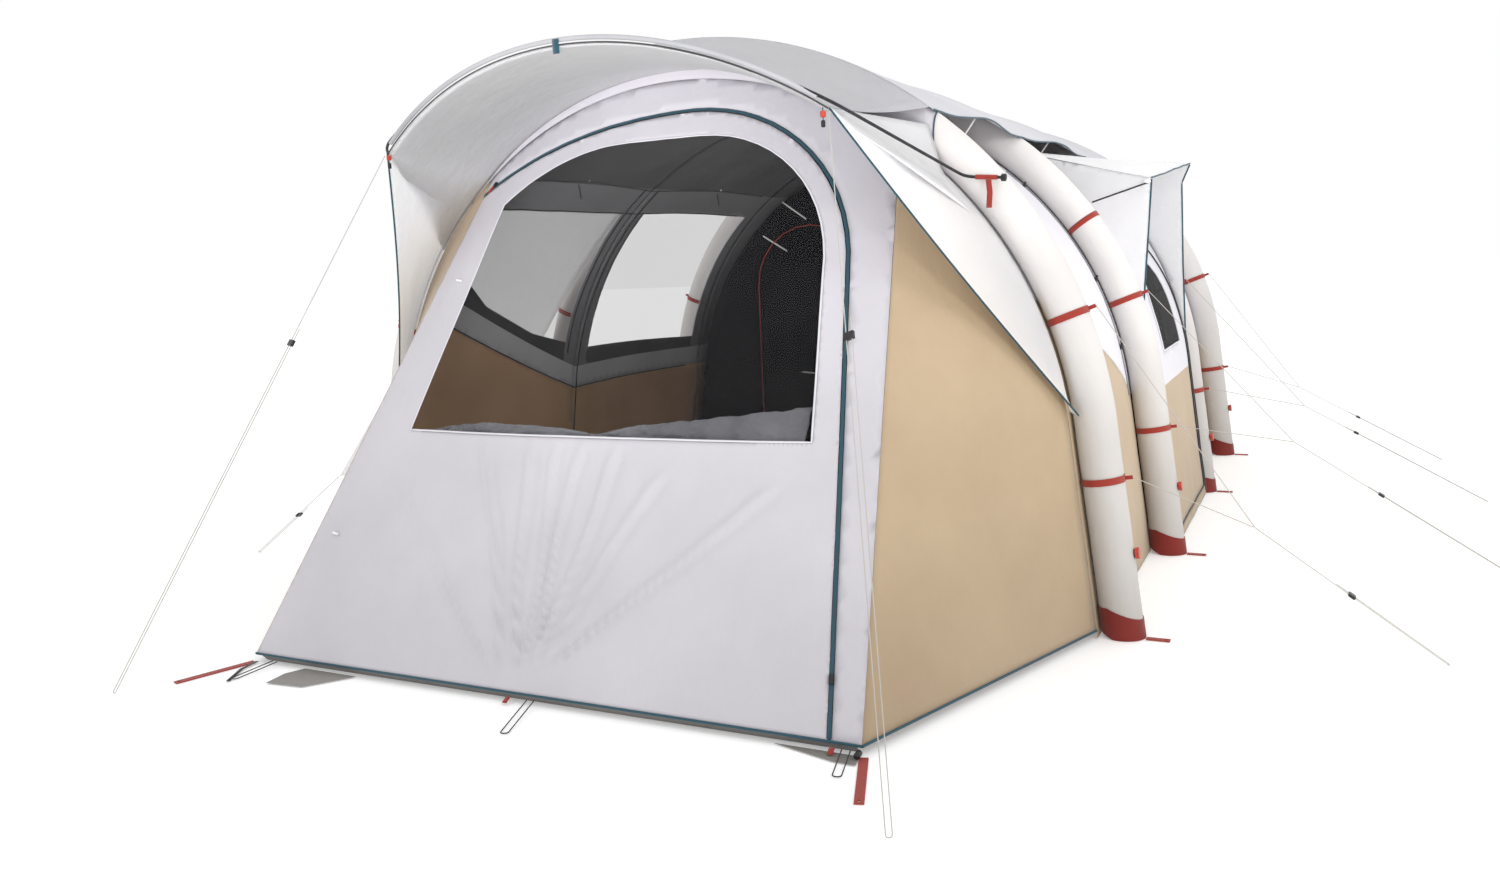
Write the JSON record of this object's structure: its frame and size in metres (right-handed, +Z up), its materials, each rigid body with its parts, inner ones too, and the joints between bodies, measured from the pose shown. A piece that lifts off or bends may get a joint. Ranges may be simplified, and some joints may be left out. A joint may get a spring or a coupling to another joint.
{
  "type": "tunnel tent",
  "caption": "Family tunnel tent on inflatable arch beams, with a hooded sloping front door, a side door and a sleeping cabin.",
  "frame": {"origin": "on the ground under the middle of the tunnel, midway between the first and the last beam", "axes": "+Z up, +Y from the front door to the sleeping end, +X to the right when looking along +Y"},
  "size_m": [5.7943, 6.7351, 2.29],
  "materials": {
    "beam": "matte woven sleeve over an air tube",
    "red_web": "woven webbing",
    "boot": "coated cloth",
    "white_fly": "coated polyester",
    "tan_fly": "coated polyester",
    "clear": "clear film",
    "mesh": "fine mesh",
    "teal_zip": "zip tape",
    "slider": "painted",
    "black_plastic": "satin",
    "white_plastic": "satin",
    "red_plastic": "satin",
    "pole": "satin wrap over glass fibre",
    "ground": "woven polyethylene",
    "dark_cloth": "breathable polyester",
    "rope": "braided cord",
    "elastic": "covered elastic cord"
  },
  "bodies": {
    "tent": {"air_beam_1": "beam", "air_beam_2": "beam", "air_beam_3": "beam", "air_beam_4": "beam", "beam_boots": "boot", "beam_straps": "red_web", "bedroom_divider": "dark_cloth", "bedroom_front_wall": "dark_cloth", "bedroom_rear": "dark_cloth", "bedroom_shell": "dark_cloth", "bridle_branches": "rope", "canopy_pole": "pole", "fly_front": "white_fly", "fly_middle": "white_fly", "fly_rear": "white_fly", "front_frame": "white_fly", "front_side_panels": "tan_fly", "front_zip": "teal_zip", "groundsheet": "ground", "guy_awning": "rope", "guy_hood_left": "rope", "guy_hood_right": "rope", "guy_right_1": "rope", "guy_right_2": "rope", "guy_right_3": "rope", "guy_right_4": "rope", "hem_elastics": "elastic", "hood": "white_fly", "left_windows": "clear", "mud_flap": "ground", "peg_tabs": "red_web", "pole_brackets": "red_web", "rear_panels": "white_fly", "roof_cover": "white_fly", "side_canopy": "white_fly", "side_wall": "tan_fly", "skirts_left": "tan_fly", "skirts_right": "tan_fly", "valve_rings": "black_plastic", "vent_struts": "white_plastic", "visor_pole": "pole", "window_awning": "white_fly"},
    "front_door": {"front_door": "white_fly", "front_window": "clear"},
    "front_zip_slider": {"front_zip_slider": "slider"},
    "side_door": {"side_door": "tan_fly", "side_window": "mesh"},
    "bedroom_door_left": {"bedroom_door_left": "dark_cloth"},
    "bedroom_door_right": {"bedroom_door_right": "dark_cloth"},
    "valve_cap_1": {"valve_cap_1": "red_plastic"},
    "valve_cap_2": {"valve_cap_2": "red_plastic"},
    "valve_cap_3": {"valve_cap_3": "red_plastic"},
    "valve_cap_4": {"valve_cap_4": "red_plastic"},
    "runner_guy_awning": {"runner_guy_awning": "red_plastic"},
    "runner_guy_hood_left": {"runner_guy_hood_left": "red_plastic"},
    "runner_guy_hood_right": {"runner_guy_hood_right": "red_plastic"},
    "runner_guy_right_1": {"runner_guy_right_1": "red_plastic"},
    "runner_guy_right_2": {"runner_guy_right_2": "red_plastic"},
    "runner_guy_right_3": {"runner_guy_right_3": "red_plastic"},
    "runner_guy_right_4": {"runner_guy_right_4": "red_plastic"}
  },
  "joints": [
    {"name": "front_door_swing", "type": "hinge", "parent": "tent", "child": "front_door", "pos_m": [-1.21, -3.38, 0.032], "axis": [-0.127, -0.5716, -0.8107], "range_deg": [0, 12]},
    {"name": "front_zip_travel", "type": "slide", "parent": "front_door", "child": "front_zip_slider", "axis": [-0.1555, 0.5489, 0.8213], "range_m": [0, 1.2]},
    {"name": "side_door_swing", "type": "hinge", "parent": "tent", "child": "side_door", "pos_m": [1.752, 0.592, 0.5], "axis": [0, 0, 1], "range_deg": [0, 85]},
    {"name": "bedroom_door_left_swing", "type": "hinge", "parent": "tent", "child": "bedroom_door_left", "pos_m": [-0.26, 0.64, 0.9], "axis": [0, 0, 1], "range_deg": [0, 90]},
    {"name": "bedroom_door_right_swing", "type": "hinge", "parent": "tent", "child": "bedroom_door_right", "pos_m": [0.26, 0.64, 0.9], "axis": [0, 0, -1], "range_deg": [0, 90]},
    {"name": "valve_cap_1_turn", "type": "hinge", "parent": "tent", "child": "valve_cap_1", "pos_m": [1.75486, -2.04, 0.30979], "axis": [0.9914, 0, 0.1305], "range_deg": [0, 270]},
    {"name": "valve_cap_2_turn", "type": "hinge", "parent": "tent", "child": "valve_cap_2", "pos_m": [1.75486, -0.75, 0.30979], "axis": [0.9914, 0, 0.1305], "range_deg": [0, 270]},
    {"name": "valve_cap_3_turn", "type": "hinge", "parent": "tent", "child": "valve_cap_3", "pos_m": [1.75486, 0.75, 0.30979], "axis": [0.9914, 0, 0.1305], "range_deg": [0, 270]},
    {"name": "valve_cap_4_turn", "type": "hinge", "parent": "tent", "child": "valve_cap_4", "pos_m": [1.75486, 2.04, 0.30979], "axis": [0.9914, 0, 0.1305], "range_deg": [0, 270]},
    {"name": "runner_guy_right_1_slide", "type": "slide", "parent": "tent", "child": "runner_guy_right_1", "axis": [0.8137, 0, -0.5812], "range_m": [-0.03, 0.308]},
    {"name": "runner_guy_right_2_slide", "type": "slide", "parent": "tent", "child": "runner_guy_right_2", "axis": [0.842, 0, -0.5395], "range_m": [-0.03, 0.516]},
    {"name": "runner_guy_right_3_slide", "type": "slide", "parent": "tent", "child": "runner_guy_right_3", "axis": [0.8731, 0, -0.4876], "range_m": [-0.03, 0.666]},
    {"name": "runner_guy_right_4_slide", "type": "slide", "parent": "tent", "child": "runner_guy_right_4", "axis": [0.8771, 0, -0.4803], "range_m": [-0.03, 0.492]},
    {"name": "runner_guy_hood_right_slide", "type": "slide", "parent": "tent", "child": "runner_guy_hood_right", "axis": [0.2335, -0.468, -0.8523], "range_m": [-0.03, 1.329]},
    {"name": "runner_guy_hood_left_slide", "type": "slide", "parent": "tent", "child": "runner_guy_hood_left", "axis": [-0.2335, -0.468, -0.8523], "range_m": [-0.03, 1.329]},
    {"name": "runner_guy_awning_slide", "type": "slide", "parent": "tent", "child": "runner_guy_awning", "axis": [-0.735, -0.254, -0.6287], "range_m": [-0.03, 0.265]}
  ]
}
